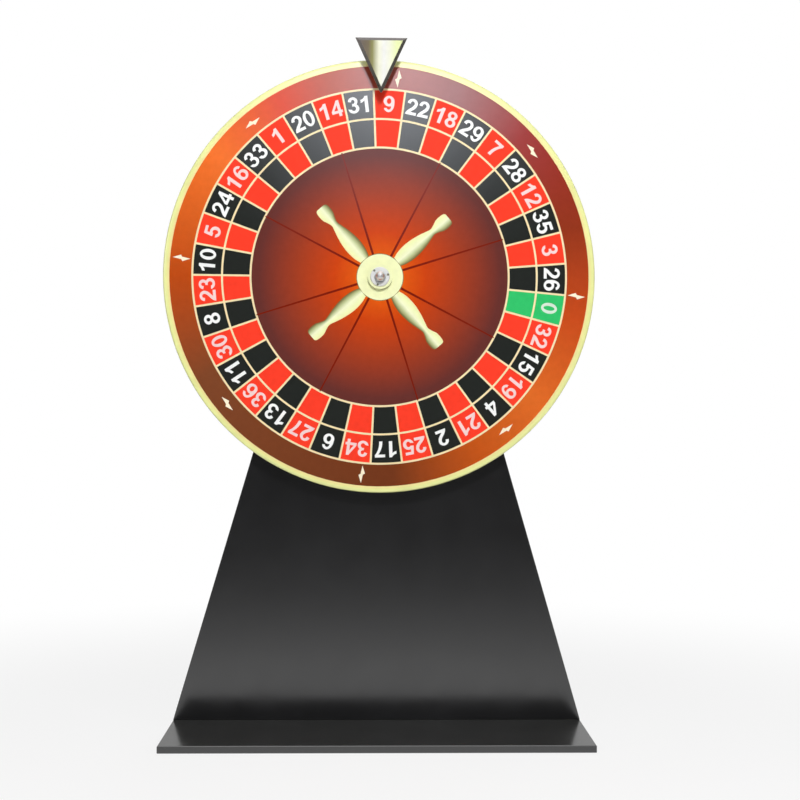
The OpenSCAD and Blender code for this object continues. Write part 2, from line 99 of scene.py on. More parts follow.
class DialSettings(bpy.types.PropertyGroup):
    """Sizes and colours of the print."""

    hub_disc_radius: bpy.props.FloatProperty(
        name="Hub disc", description="Radius of the pale disc printed around the hub",
        default=mm(32.4), unit="LENGTH")
    cone_radius: bpy.props.FloatProperty(
        name="Cone", description="Radius of the shaded field inside the pockets",
        default=mm(179.2), unit="LENGTH")
    split_radius: bpy.props.FloatProperty(
        name="Split", description="Radius of the line between plain and numbered cells",
        default=mm(218.5), unit="LENGTH")
    pocket_radius: bpy.props.FloatProperty(
        name="Pockets", description="Outer radius of the numbered cells",
        default=mm(259.4), unit="LENGTH")
    line_width: bpy.props.FloatProperty(
        name="Lines", description="Width of the pale lines", default=mm(2.7), unit="LENGTH")
    digit_height: bpy.props.FloatProperty(
        name="Digits", description="Height of the numbers", default=mm(22.5), unit="LENGTH")
    digit_radius: bpy.props.FloatProperty(
        name="Digit circle", description="Radius of the circle that the numbers are centred on",
        default=mm(239.5), unit="LENGTH")
    ink_height: bpy.props.FloatProperty(
        name="Ink", description="Height of a printed layer, more than real ink to keep it off the sheet",
        default=mm(0.06), unit="LENGTH")
    turn: bpy.props.FloatProperty(
        name="Turn", description="Angle of the green pocket, anticlockwise from the right",
        default=math.radians(-9.9), subtype="ANGLE")
    red: bpy.props.FloatVectorProperty(
        name="Red", description="Red cells", default=linear("#F9402B"), size=4, subtype="COLOR")
    black: bpy.props.FloatVectorProperty(
        name="Black", description="Black cells", default=linear("#222522"), size=4, subtype="COLOR")
    green: bpy.props.FloatVectorProperty(
        name="Green", description="Green cells", default=linear("#34C06A"), size=4, subtype="COLOR")
    line: bpy.props.FloatVectorProperty(
        name="Line", description="Pale lines", default=linear("#F2DEAE"), size=4, subtype="COLOR")
    number: bpy.props.FloatVectorProperty(
        name="Number", description="Numbers", default=linear("#F3F4F2"), size=4, subtype="COLOR")
    bleed: bpy.props.FloatProperty(
        name="Bleed", description="Share of a red or green cell's ink that tints the number on it",
        default=0.3, subtype="FACTOR")
    hub_disc: bpy.props.FloatVectorProperty(
        name="Hub disc colour", description="Disc around the hub", default=linear("#F0F3BF"), size=4,
        subtype="COLOR")
    deflector: bpy.props.FloatVectorProperty(
        name="Deflector", description="Small marks on the outer ring", default=linear("#FAEED0"), size=4,
        subtype="COLOR")
    cone_line: bpy.props.FloatVectorProperty(
        name="Cone line", description="Dark lines of the shaded field", default=linear("#7A1C0A"), size=4,
        subtype="COLOR")


class FinishSettings(bpy.types.PropertyGroup):
    """Colours of the boards, the trim, the hub and the pointer."""

    board: bpy.props.FloatVectorProperty(
        name="Board", description="Black laminate of the boards", default=linear("#131314"), size=4,
        subtype="COLOR")
    trim: bpy.props.FloatVectorProperty(
        name="Trim", description="Edge band of the wheel", default=linear("#EDEF9F"), size=4,
        subtype="COLOR")
    trim_inner: bpy.props.FloatVectorProperty(
        name="Trim inside", description="Inner lip of the edge band", default=linear("#F8E39A"), size=4,
        subtype="COLOR")
    hub: bpy.props.FloatVectorProperty(
        name="Hub", description="Coating of the hub", default=linear("#E9EDB9"), size=4, subtype="COLOR")
    pointer: bpy.props.FloatVectorProperty(
        name="Pointer", description="Sheet plastic of the pointer", default=linear("#45433C"), size=4,
        subtype="COLOR")


class StageSettings(bpy.types.PropertyGroup):
    """Floor, lamps and backdrop of the studio."""

    floor: bpy.props.FloatVectorProperty(
        name="Floor", description="Floor of the studio", default=linear("#F0F0EF"), size=4, subtype="COLOR")
    key_power: bpy.props.FloatProperty(
        name="Key lamp", description="Power of the lamp above the camera", default=34.4, unit="POWER")
    softbox_power: bpy.props.FloatProperty(
        name="Softbox", description="Power of the panel that shines in the print, before its edges fade",
        default=57, unit="POWER")
    right_power: bpy.props.FloatProperty(
        name="Right lamp", description="Power of the lamp on the right", default=4.5, unit="POWER")
    left_power: bpy.props.FloatProperty(
        name="Left lamp", description="Power of the lamp on the left", default=4, unit="POWER")
    top_power: bpy.props.FloatProperty(
        name="Top lamp", description="Power of the lamp over the stand", default=4.5, unit="POWER")
    back_power: bpy.props.FloatProperty(
        name="Back lamp", description="Power of the lamp behind the stand", default=10, unit="POWER")
    ambient: bpy.props.FloatProperty(
        name="Ambient", description="Brightness of the room", default=0.1)


# Helpers for pieces

def dial_settings():
    return bpy.context.scene.game_wheel_dial


def finish_settings():
    return bpy.context.scene.game_wheel_finish


def stage_settings():
    return bpy.context.scene.game_wheel_stage


def pocket_angle(index):
    """Angle of a pocket's middle. The pockets run clockwise."""
    return dial_settings().turn - index * POCKET_STEP


def cell_ink(index):
    """Ink of a pocket: green for one of them, red and black by turns for the others."""
    if POCKET_ORDER[index] == GREEN_POCKET:
        return "green"
    return "red" if index % 2 else "black"


def polar(radius, angle):
    return Vector((radius * math.cos(angle), radius * math.sin(angle), 0))


def facing_out(radius, angle):
    """Place on the dial whose y axis points away from the hub."""
    return Matrix.Rotation(angle - math.pi / 2, 4, "Z") @ Matrix.Translation((0, radius, 0))


def chain_edges(bm, verts):
    """Edges that join points in a row."""
    return [bm.edges.new(pair) for pair in zip(verts, verts[1:])]


def strip(bm, start, end, start_width, end_width, angle):
    """Flat strip that runs outward between two radii."""
    across = polar(1, angle + math.pi / 2)
    corners = [
        polar(start, angle) - across * start_width / 2,
        polar(end, angle) - across * end_width / 2,
        polar(end, angle) + across * end_width / 2,
        polar(start, angle) + across * start_width / 2,
    ]
    return bm.faces.new([bm.verts.new(corner) for corner in corners])


def raise_ink(bm, height):
    """Turns the flat faces of the dial's plane into closed layers of ink."""
    made = bmesh.ops.extrude_face_region(bm, geom=bm.faces[:], use_keep_orig=True)
    top = [part for part in made["geom"] if isinstance(part, bmesh.types.BMVert)]
    bmesh.ops.translate(bm, verts=top, vec=(0, 0, height))
    bmesh.ops.recalc_face_normals(bm, faces=bm.faces[:])


def dial_piece(bm, name, materials):
    """Finishes a piece that was built in the dial's plane and turns with the wheel."""
    bmesh.ops.transform(bm, matrix=DIAL_PLACE, verts=bm.verts[:])
    mesh = bpy.data.meshes.new(name)
    bm.to_mesh(mesh)
    bm.free()
    piece = bpy.data.objects.new(name, mesh)
    bpy.context.collection.objects.link(piece)
    for material in materials:
        mesh.materials.append(material)
    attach(piece, "wheel")
    return piece


# Helpers for materials

# Most values of a noise texture lie in this span
NOISE_SPAN = {"From Min": 0.3, "From Max": 0.7}


def set_inputs(tree, node, inputs):
    """Gives a node's inputs their values or links."""
    for key, value in inputs.items():
        if isinstance(value, bpy.types.NodeSocket):
            tree.links.new(value, node.inputs[key])
        else:
            node.inputs[key].default_value = value


def add(tree, kind, inputs=None, stops=None, **settings):
    """Adds a node with its settings, its inputs and, for a colour ramp, the hex colours of its stops."""
    node = tree.nodes.new(kind)
    for name, value in settings.items():
        setattr(node, name, value)
    set_inputs(tree, node, inputs or {})
    if stops:
        elements = node.color_ramp.elements
        while len(elements) < len(stops):
            elements.new(1.0)
        for element, (position, code) in zip(elements, stops):
            element.position = position
            element.color = linear(code)
    return node


def new_material(name):
    """A material, its node tree and its shader."""
    material = bpy.data.materials.new(name)
    material.use_nodes = True
    tree = material.node_tree
    return material, tree, tree.nodes["Principled BSDF"]


def mottle(tree, shader, colour, noise, shade, roughness):
    """Lets a noise vary the brightness of a colour and the roughness of its surface, each over a range.

    The colour is a fixed one, or a function that draws it with nodes.
    """
    value = noise.outputs["Fac"]
    if callable(colour):
        colour = colour(tree)
    level = add(
        tree, "ShaderNodeMapRange",
        {"Value": value, **NOISE_SPAN, "To Min": shade[0], "To Max": shade[1]},
    )
    polish = add(
        tree, "ShaderNodeMapRange",
        {"Value": value, **NOISE_SPAN, "To Min": roughness[0], "To Max": roughness[1]},
    )
    tint = add(
        tree, "ShaderNodeMix", {"Factor": 1.0, "A": colour, "B": level.outputs["Result"]},
        data_type="RGBA", blend_type="MULTIPLY",
    ).outputs["Result"]
    set_inputs(tree, shader, {"Base Color": tint, "Roughness": polish.outputs["Result"]})
    return tint


def from_axis(tree):
    """Place on the dial, measured from the axis of the wheel."""
    place = add(tree, "ShaderNodeTexCoord").outputs["Object"]
    return add(
        tree, "ShaderNodeMapping", {"Vector": place, "Location": (0, 0, -AXIS_HEIGHT), "Scale": (1, 0, 1)},
    ).outputs["Vector"]


# Materials of the print

def printed_vinyl(name, colour, gloss):
    """Printed vinyl: a faint mottle in the ink, soft waves and a fine orange peel in the clear film over it.

    The gloss is the specular level, 0.5 for bare film and less for inks that dull it.
    """
    material, tree, shader = new_material(name)
    place = add(tree, "ShaderNodeTexCoord").outputs["Object"]
    ink = add(tree, "ShaderNodeTexNoise", {"Vector": place, "Scale": per_metre(9), "Detail": 4.0})
    film = add(tree, "ShaderNodeTexNoise", {"Vector": place, "Scale": per_metre(45), "Detail": 2.0})
    peel = add(tree, "ShaderNodeTexNoise", {"Vector": place, "Scale": per_metre(2.5), "Detail": 1.0})
    wave = add(
        tree, "ShaderNodeBump", {"Strength": 0.1, "Distance": mm(0.5), "Height": film.outputs["Fac"]},
    )
    bump = add(
        tree, "ShaderNodeBump",
        {
            "Strength": 0.04, "Distance": mm(0.1), "Height": peel.outputs["Fac"],
            "Normal": wave.outputs["Normal"],
        },
    )
    mottle(tree, shader, colour, ink, shade=(0.95, 1.02), roughness=(0.08, 0.11))
    set_inputs(tree, shader, {"Normal": bump.outputs["Normal"], "IOR": 1.5, "Specular IOR Level": gloss})
    return material


def cone_colour(tree):
    """Shaded field: bright orange-red at the hub, deep brown-red at the pockets."""
    radius = add(tree, "ShaderNodeVectorMath", {0: from_axis(tree)}, operation="LENGTH")
    share = add(
        tree, "ShaderNodeMapRange",
        {"Value": radius.outputs["Value"], "From Max": dial_settings().cone_radius},
    )
    return add(
        tree, "ShaderNodeValToRGB", {"Fac": share.outputs["Result"]},
        stops=((0.18, "#DC5812"), (0.35, "#C84210"), (0.65, "#9D3B21"), (0.94, "#65312C")),
    ).outputs["Color"]


def outer_ring_colour(tree):
    """Varnished ring with printed light and dark stretches, placed by degrees from the right of the dial;
    the pink-grey stretch near 68 degrees is a painted reflection of the softbox.
    """
    place = add(tree, "ShaderNodeSeparateXYZ", {"Vector": from_axis(tree)})
    angle = add(
        tree, "ShaderNodeMath", {0: place.outputs["Z"], 1: place.outputs["X"]}, operation="ARCTAN2",
    )
    share = add(
        tree, "ShaderNodeMapRange",
        {"Value": angle.outputs["Value"], "From Min": -math.pi, "From Max": math.pi},
    )
    # The stop at 68 degrees is a painted reflection of the softbox; the other stops are printed stretches
    printed_and_painted_sheen_stops = ((-180, "#BA4912"), (-150, "#7E4527"), (-86, "#72371A"), (-60, "#C25417"), (-38, "#DE6A26"),
              (-12, "#C44A1A"), (15, "#8F3319"), (45, "#982E2A"), (68, "#965F5E"), (105, "#AC401E"),
              (120, "#D63C0C"), (143, "#F2722A"), (180, "#BA4912"))
    return add(
        tree, "ShaderNodeValToRGB", {"Fac": share.outputs["Result"]},
        stops=[(degrees / 360 + 0.5, code) for degrees, code in printed_and_painted_sheen_stops],
    ).outputs["Color"]


def turned_gold_colour(tree):
    """Painted shade of a round turned arm: lit on its left and middle, dark olive towards its right edge."""
    across = add(tree, "ShaderNodeAttribute", attribute_name="across")
    return add(
        tree, "ShaderNodeValToRGB", {"Fac": across.outputs["Fac"]},
        stops=((0.0, "#F5E8A6"), (0.15, "#EEF3B4"), (0.5, "#F1F4CC"), (0.72, "#C2CB96"), (0.92, "#847F4E"),
               (1.0, "#6E552C")),
    ).outputs["Color"]


# Dial operators

class GAME_WHEEL_OT_printed_sheet(bpy.types.Operator):
    """Print the sheet of the wheel: hub disc, cone, two rings of cells and the outer ring"""

    bl_idname = "game_wheel.printed_sheet"
    bl_label = "Printed Sheet"

    def execute(self, context):
        dial = dial_settings()
        half_line = dial.line_width / 2
        half_outline = mm(0.5)
        weld = mm(0.01)
        # Outer radius and print of each zone, from the hub to the rim
        zones = [
            (dial.hub_disc_radius - half_outline, "hub_disc"),
            (dial.hub_disc_radius + half_outline, "hub_outline"),
            (dial.cone_radius - half_line, "cone"),
            (dial.cone_radius + half_line, "line"),
            (dial.split_radius - half_line, "cells"),
            (dial.split_radius + half_line, "line"),
            (dial.pocket_radius - half_line, "cells"),
            (dial.pocket_radius + half_line, "line"),
            (SHEET_RADIUS, "outer_ring"),
        ]
        prints = {
            "hub_disc": printed_vinyl("vinyl_print_pale_gold", dial.hub_disc, gloss=0.3),
            "hub_outline": printed_vinyl("vinyl_print_olive", linear("#8C7F4A"), gloss=0.3),
            "cone": printed_vinyl("vinyl_print_cone", cone_colour, gloss=0.19),
            "line": printed_vinyl("vinyl_print_line", dial.line, gloss=0.3),
            "red": printed_vinyl("vinyl_print_red", dial.red, gloss=0.03),
            "black": printed_vinyl("vinyl_print_black", dial.black, gloss=0.5),
            "green": printed_vinyl("vinyl_print_green", dial.green, gloss=0.2),
            "outer_ring": printed_vinyl("vinyl_print_outer_ring", outer_ring_colour, gloss=0.4),
            "backing": printed_vinyl("vinyl_backing", linear("#C9C9C4"), gloss=0.3),
        }
        slots = list(prints)

        start = pocket_angle(0) - POCKET_STEP / 2
        back = Vector((0, 0, -SHEET_THICKNESS))
        radii = [HUB_RADIUS] + [radius for radius, zone in zones]
        bm = bmesh.new()
        profile = [bm.verts.new(polar(radius, start)) for radius in radii]
        profile += [bm.verts.new(polar(radius, start) + back) for radius in (SHEET_RADIUS, HUB_RADIUS)]
        edges = chain_edges(bm, profile + profile[:1])
        bmesh.ops.spin(
            bm, geom=profile + edges, axis=(0, 0, 1), cent=(0, 0, 0), angle=math.tau,
            steps=len(POCKET_ORDER) * SPIN_STEPS_PER_POCKET, use_merge=True,
        )
        bmesh.ops.remove_doubles(bm, verts=bm.verts[:], dist=weld)
        bmesh.ops.recalc_face_normals(bm, faces=bm.faces[:])
        for face in bm.faces:
            centre = face.calc_center_median()
            zone = "backing"
            if centre.z > -SHEET_THICKNESS / 4:
                zone = next(zone for radius, zone in zones if centre.xy.length < radius)
            if zone == "cells":
                turned = dial.turn + POCKET_STEP / 2 - math.atan2(centre.y, centre.x)
                zone = cell_ink(int(turned % math.tau // POCKET_STEP))
            face.material_index = slots.index(zone)
        piece = dial_piece(bm, "printed_sheet", prints.values())
        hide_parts("face_sheet")
        return {"FINISHED"}


class GAME_WHEEL_OT_cell_lines(bpy.types.Operator):
    """Print the pale lines between the cells"""

    bl_idname = "game_wheel.cell_lines"
    bl_label = "Cell Lines"

    def execute(self, context):
        dial = dial_settings()
        bm = bmesh.new()
        for index in range(len(POCKET_ORDER)):
            angle = pocket_angle(index) - POCKET_STEP / 2
            strip(bm, dial.cone_radius, dial.pocket_radius, dial.line_width, dial.line_width, angle)
        raise_ink(bm, dial.ink_height)
        dial_piece(bm, "cell_lines", [printed_vinyl("vinyl_print_cell_line", dial.line, gloss=0.3)])
        return {"FINISHED"}


class GAME_WHEEL_OT_cone_lines(bpy.types.Operator):
    """Print the eight dark lines of the shaded field"""

    bl_idname = "game_wheel.cone_lines"
    bl_label = "Cone Lines"

    def execute(self, context):
        dial = dial_settings()
        hub_width = mm(3.2)
        outer_width = mm(1.8)
        first = math.radians(17.5)
        count = 8
        bm = bmesh.new()
        for index in range(count):
            angle = first + index * math.tau / count
            strip(bm, dial.hub_disc_radius, dial.cone_radius, hub_width, outer_width, angle)
        raise_ink(bm, dial.ink_height / 2)
        dial_piece(bm, "cone_lines", [printed_vinyl("vinyl_print_cone_line", dial.cone_line, gloss=0.25)])
        return {"FINISHED"}


def arc(x, y, wide, tall, start, end, steps=10):
    """Points along part of an ellipse, between two angles in degrees."""
    turns = [math.radians(start + (end - start) * i / steps) for i in range(steps + 1)]
    return [(x + wide * math.cos(turn), y + tall * math.sin(turn)) for turn in turns]


def ring(x, y, wide, tall, steps=28):
    return arc(x, y, wide, tall, 0, 360, steps)[:-1]


def digit_outlines():
    """Outlines of bold plain digits, one unit tall. Loops after the first are holes."""
    one = [(0.30, 0), (0.505, 0), (0.505, 1), (0.34, 1), (0.27, 0.90), (0.17, 0.825), (0.055, 0.78),
           (0.055, 0.605), (0.19, 0.655), (0.30, 0.735)]
    two = ([(0, 0), (0.67, 0), (0.67, 0.177), (0.295, 0.177), (0.37, 0.25), (0.50, 0.365), (0.60, 0.49)]
           + arc(0.34, 0.70, 0.318, 0.30, -15, 180, 16) + arc(0.34, 0.70, 0.125, 0.145, 190, -25, 14)
           + [(0.40, 0.54), (0.31, 0.445), (0.18, 0.33), (0.08, 0.215), (0.02, 0.10)])
    three = (arc(0.315, 0.735, 0.295, 0.265, 178, -45, 14) + arc(0.335, 0.295, 0.335, 0.295, 50, -175, 16)
             + arc(0.335, 0.30, 0.14, 0.145, 200, 430, 14) + [(0.34, 0.445), (0.245, 0.44), (0.262, 0.592)]
             + arc(0.315, 0.72, 0.11, 0.125, -70, 190, 12))
    four = [(0.40, 0), (0.585, 0), (0.585, 0.205), (0.69, 0.205), (0.69, 0.37), (0.585, 0.37), (0.585, 1),
            (0.425, 1), (0, 0.37), (0, 0.205), (0.40, 0.205)]
    five = ([(0.115, 0.985), (0.03, 0.455)] + arc(0.335, 0.325, 0.135, 0.175, 500, 200, 16)
            + arc(0.335, 0.33, 0.335, 0.33, -172, 105, 18) + [(0.25, 0.81), (0.615, 0.81), (0.615, 0.985)])
    six = (arc(0.35, 0.68, 0.30, 0.32, 15, 90, 7) + arc(0.35, 0.48, 0.34, 0.52, 95, 180, 9)
           + arc(0.345, 0.325, 0.335, 0.325, 185, 475, 22) + arc(0.35, 0.66, 0.145, 0.185, 190, 25, 10))
    seven = [(0.02, 0.985), (0.02, 0.81), (0.435, 0.81), (0.34, 0.665), (0.26, 0.50), (0.205, 0.33),
             (0.175, 0.17), (0.165, 0), (0.36, 0), (0.37, 0.18), (0.40, 0.355), (0.45, 0.51), (0.53, 0.675),
             (0.66, 0.845), (0.66, 0.985)]
    eight = arc(0.335, 0.735, 0.30, 0.265, -50, 230, 18) + arc(0.335, 0.285, 0.335, 0.285, 125, 415, 20)
    six_hole = ring(0.345, 0.32, 0.135, 0.175)
    six_width = 0.69
    nine = [[(six_width - x, 1 - y) for x, y in loop] for loop in (six, six_hole)]
    return {
        "0": [ring(0.335, 0.5, 0.335, 0.5), ring(0.335, 0.5, 0.14, 0.345)],
        "1": [one],
        "2": [two],
        "3": [three],
        "4": [four, [(0.40, 0.37), (0.40, 0.71), (0.17, 0.37)]],
        "5": [five],
        "6": [six, six_hole],
        "7": [seven],
        "8": [eight, ring(0.335, 0.735, 0.115, 0.115), ring(0.335, 0.29, 0.14, 0.14)],
        "9": nine,
    }


class GAME_WHEEL_OT_pocket_numbers(bpy.types.Operator):
    """Print a number in each pocket, with its top to the rim"""

    bl_idname = "game_wheel.pocket_numbers"
    bl_label = "Pocket Numbers"

    def execute(self, context):
        dial = dial_settings()
        outlines = digit_outlines()
        # Sizes of the digits, in shares of their height
        advance = 0.74
        side_bearing = 0.035
        half_height = 0.5
        scale = Matrix.Scale(dial.digit_height, 4)
        red_tint = Vector(dial.number).lerp(Vector(dial.red), dial.bleed)
        green_tint = Vector(dial.number).lerp(Vector(dial.green), dial.bleed)
        prints = {
            "black": printed_vinyl("vinyl_print_white", dial.number, gloss=0.3),
            "red": printed_vinyl("vinyl_print_white_on_red", red_tint, gloss=0.3),
            "green": printed_vinyl("vinyl_print_white_on_green", green_tint, gloss=0.3),
        }
        slots = list(prints)
        bm = bmesh.new()
        for index, number in enumerate(POCKET_ORDER):
            text = str(number)
            place = facing_out(dial.digit_radius, pocket_angle(index)) @ scale
            for position, digit in enumerate(text):
                left = (position - len(text) / 2) * advance + side_bearing
                edges = []
                for loop in outlines[digit]:
                    verts = [bm.verts.new(place @ Vector((x + left, y - half_height, 0))) for x, y in loop]
                    edges += chain_edges(bm, verts + verts[:1])
                filled = bmesh.ops.triangle_fill(bm, use_beauty=True, edges=edges)
                for part in filled["geom"]:
                    if isinstance(part, bmesh.types.BMFace):
                        part.material_index = slots.index(cell_ink(index))
        raise_ink(bm, dial.ink_height)
        dial_piece(bm, "pocket_numbers", prints.values())
        return {"FINISHED"}


class GAME_WHEEL_OT_deflectors(bpy.types.Operator):
    """Print the eight small spark-shaped marks of the outer ring, every second one turned along the rim"""

    bl_idname = "game_wheel.deflectors"
    bl_label = "Deflectors"

    def execute(self, context):
        dial = dial_settings()
        first = math.radians(85)
        count = 8
        radius = (dial.pocket_radius + SHEET_RADIUS) / 2
        tip = (0.0, mm(12.2))
        shoulder = (mm(4.4), mm(1.4))
        notch = (mm(1.7), -mm(0.5))
        half_outline = [tip, shoulder, notch]
        outline = half_outline + [(-x, -y) for x, y in half_outline]
        bm = bmesh.new()
        for index in range(count):
            place = facing_out(radius, first - index * math.tau / count)
            if index % 2:
                place = place @ Matrix.Rotation(math.pi / 2, 4, "Z")
            bm.faces.new([bm.verts.new(place @ Vector((x, y, 0))) for x, y in outline])
        raise_ink(bm, dial.ink_height)
        dial_piece(bm, "deflectors", [printed_vinyl("vinyl_print_cream", dial.deflector, gloss=0.2)])
        return {"FINISHED"}


def smooth_curve(points, steps):
    """Points along a smooth curve through the given ones."""
    padded = [points[0], *points, points[-1]]
    curve = []
    for before, start, end, after in zip(padded, padded[1:], padded[2:], padded[3:]):
        for step in range(steps):
            share = step / steps
            bend = 2 * before - 5 * start + 4 * end - after + share * (3 * (start - end) + after - before)
            curve.append(start + share / 2 * (end - before + share * bend))
    return curve + [points[-1]]


class GAME_WHEEL_OT_turret_arms(bpy.types.Operator):
    """Print the four turned arms around the hub disc"""

    bl_idname = "game_wheel.turret_arms"
    bl_label = "Turret Arms"

    def execute(self, context):
        dial = dial_settings()
        first = math.radians(41)
        count = 4
        # Half width of an arm and its distance from the axis, in millimetres: belly, neck and head
        profile = ((7.4, 32.4), (10.4, 42), (11.8, 54), (11.2, 66), (9.2, 78), (6.6, 88), (4.6, 96.5),
                   (6.6, 103.5), (9.3, 110), (9.9, 118), (8.9, 124), (6.5, 126))
        curve = smooth_curve([Vector((mm(width), mm(radius), 0)) for width, radius in profile], steps=5)
        bm = bmesh.new()
        across = bm.verts.layers.float.new("across")
        for index in range(count):
            place = facing_out(0, first + index * math.tau / count)
            edges = []
            for side, share in ((-1, 0.0), (1, 1.0)):
                verts = [bm.verts.new(place @ Vector((side * point.x, point.y, 0))) for point in curve]
                for vert in verts:
                    vert[across] = share
                edges += chain_edges(bm, verts)
            bmesh.ops.bridge_loops(bm, edges=edges)
        raise_ink(bm, dial.ink_height)
        gold = printed_vinyl("vinyl_print_turned_gold", turned_gold_colour, gloss=0.3)
        dial_piece(bm, "turret_arms", [gold])
        return {"FINISHED"}


# Materials of the stand, the trim and the metal

def black_laminate(name, colour):
    """Black melamine face on fibreboard: satin, with a faint pebble, smudges in the sheen and worn bevels.

    Specks of dust lie on all of it, and the faces that look up are mixed a little towards pale grey, which
    makes them lighter.
    """
    material, tree, shader = new_material(name)
    coordinates = add(tree, "ShaderNodeTexCoord").outputs
    place = coordinates["Object"]
    normal = coordinates["Normal"]
    pebble = add(tree, "ShaderNodeTexNoise", {"Vector": place, "Scale": per_metre(1.6), "Detail": 2.0})
    smudge = add(tree, "ShaderNodeTexNoise", {"Vector": place, "Scale": per_metre(60), "Detail": 5.0})
    face = mottle(tree, shader, colour, smudge, shade=(0.85, 1.15), roughness=(0.15, 0.21))

    # A bevel is where no part of the normal is close to 1
    either_way = add(tree, "ShaderNodeVectorMath", {0: normal}, operation="ABSOLUTE")
    parts = add(tree, "ShaderNodeSeparateXYZ", {"Vector": either_way.outputs["Vector"]}).outputs
    flatter = add(tree, "ShaderNodeMath", {0: parts["X"], 1: parts["Y"]}, operation="MAXIMUM")
    flattest = add(
        tree, "ShaderNodeMath", {0: flatter.outputs["Value"], 1: parts["Z"]}, operation="MAXIMUM",
    )
    bevel = add(
        tree, "ShaderNodeMapRange",
        {
            "Value": flattest.outputs["Value"], "From Min": 0.72, "From Max": 0.86,
            "To Min": 0.5, "To Max": 0.0,
        },
    )
    worn = add(
        tree, "ShaderNodeMix", {"Factor": bevel.outputs["Result"], "A": face, "B": linear("#4A4A49")},
        data_type="RGBA",
    )

    dust = add(tree, "ShaderNodeTexVoronoi", {"Vector": place, "Scale": per_metre(9)})
    speck = add(
        tree, "ShaderNodeMapRange",
        {
            "Value": dust.outputs["Distance"], "From Min": 0.03, "From Max": 0.07,
            "To Min": 0.1, "To Max": 0.0,
        },
    )
    # Faces that look up are mixed up to 0.16 of the way towards pale grey, which makes them lighter
    upward = add(tree, "ShaderNodeSeparateXYZ", {"Vector": normal}).outputs["Z"]
    film = add(
        tree, "ShaderNodeMapRange", {"Value": upward, "From Min": 0.8, "From Max": 1.0, "To Max": 0.16},
    )
    # Cover is the dust specks together with the lighter upward faces
    cover = add(
        tree, "ShaderNodeMath", {0: speck.outputs["Result"], 1: film.outputs["Result"]}, operation="MAXIMUM",
    )
    specked_and_lightened = add(
        tree, "ShaderNodeMix",
        {"Factor": cover.outputs["Value"], "A": worn.outputs["Result"], "B": linear("#8A8A86")},
        data_type="RGBA",
    )
    bump = add(
        tree, "ShaderNodeBump", {"Strength": 0.06, "Distance": mm(0.1), "Height": pebble.outputs["Fac"]},
    )
    set_inputs(
        tree, shader,
        {"Base Color": specked_and_lightened.outputs["Result"], "Normal": bump.outputs["Normal"], "IOR": 1.8},
    )
    return material


def coated_surface(name, colour, roughness, ior):
    """Extruded plastic or coated metal, with slight flow marks and a sheen that grows with the IOR."""
    material, tree, shader = new_material(name)
    place = add(tree, "ShaderNodeTexCoord").outputs["Object"]
    flow = add(tree, "ShaderNodeTexNoise", {"Vector": place, "Scale": per_metre(25), "Detail": 3.0})
    grain = add(tree, "ShaderNodeTexNoise", {"Vector": place, "Scale": per_metre(1.2), "Detail": 2.0})
    bump = add(
        tree, "ShaderNodeBump", {"Strength": 0.06, "Distance": mm(0.1), "Height": grain.outputs["Fac"]},
    )
    spread = 0.05
    mottle(
        tree, shader, colour, flow, shade=(0.95, 1.02), roughness=(roughness - spread, roughness + spread),
    )
    set_inputs(tree, shader, {"Normal": bump.outputs["Normal"], "IOR": ior})
    return material


def trim_colour(tree):
    """Pale gold that is warmer on the lip over the sheet than around the rim."""
    colours = finish_settings()
    rim_start = SHEET_RADIUS + mm(4.5)
    radius = add(tree, "ShaderNodeVectorMath", {0: from_axis(tree)}, operation="LENGTH")
    share = add(
        tree, "ShaderNodeMapRange",
        {"Value": radius.outputs["Value"], "From Min": SHEET_RADIUS, "From Max": rim_start},
    )
    return add(
        tree, "ShaderNodeMix",
        {"Factor": share.outputs["Result"], "A": colours.trim_inner, "B": colours.trim},
        data_type="RGBA",
    ).outputs["Result"]


def beveled_acrylic(name, colour):
    """Smoked sheet acrylic with fine saw marks.

    A painted highlight, pale grey, covers the bevel along the top edge, and fades out on its way down the
    left one.
    """
    material, tree, shader = new_material(name)
    coordinates = add(tree, "ShaderNodeTexCoord").outputs
    place = coordinates["Object"]
    haze = add(tree, "ShaderNodeTexNoise", {"Vector": place, "Scale": per_metre(6), "Detail": 3.0})
    saw = add(tree, "ShaderNodeTexNoise", {"Vector": place, "Scale": per_metre(0.8), "Detail": 2.0})
    smoke = mottle(tree, shader, colour, haze, shade=(0.9, 1.1), roughness=(0.25, 0.35))
    facing = add(tree, "ShaderNodeSeparateXYZ", {"Vector": coordinates["Normal"]}).outputs
    # Painted highlight: bevel faces that look up, or to the left high on the plate, are mixed towards pale
    # grey
    top = add(tree, "ShaderNodeMapRange", {"Value": facing["Z"], "From Min": 0.1, "From Max": 0.4})
    left = add(tree, "ShaderNodeMapRange", {"Value": facing["X"], "From Min": -0.1, "From Max": -0.4})
    height = add(tree, "ShaderNodeSeparateXYZ", {"Vector": place}).outputs["Z"]
    fade_end = pointer_low.z + mm(20)
    fade = add(
        tree, "ShaderNodeMapRange", {"Value": height, "From Min": fade_end, "From Max": pointer_high.z},
    )
    faded_left_highlight = add(
        tree, "ShaderNodeMath", {0: left.outputs["Result"], 1: fade.outputs["Result"]}, operation="MULTIPLY",
    )
    # Share of the painted highlight on each face
    cover = add(
        tree, "ShaderNodeMath", {0: top.outputs["Result"], 1: faded_left_highlight.outputs["Value"]},
        operation="MAXIMUM",
    )
    painted_bevel_highlight = add(
        tree, "ShaderNodeMix", {"Factor": cover.outputs["Value"], "A": smoke, "B": linear("#6B6663")},
        data_type="RGBA",
    )
    bump = add(tree, "ShaderNodeBump", {"Strength": 0.06, "Distance": mm(0.1), "Height": saw.outputs["Fac"]})
    set_inputs(
        tree, shader,
        {"Base Color": painted_bevel_highlight.outputs["Result"], "Normal": bump.outputs["Normal"], "IOR": 1.49},
    )
    return material


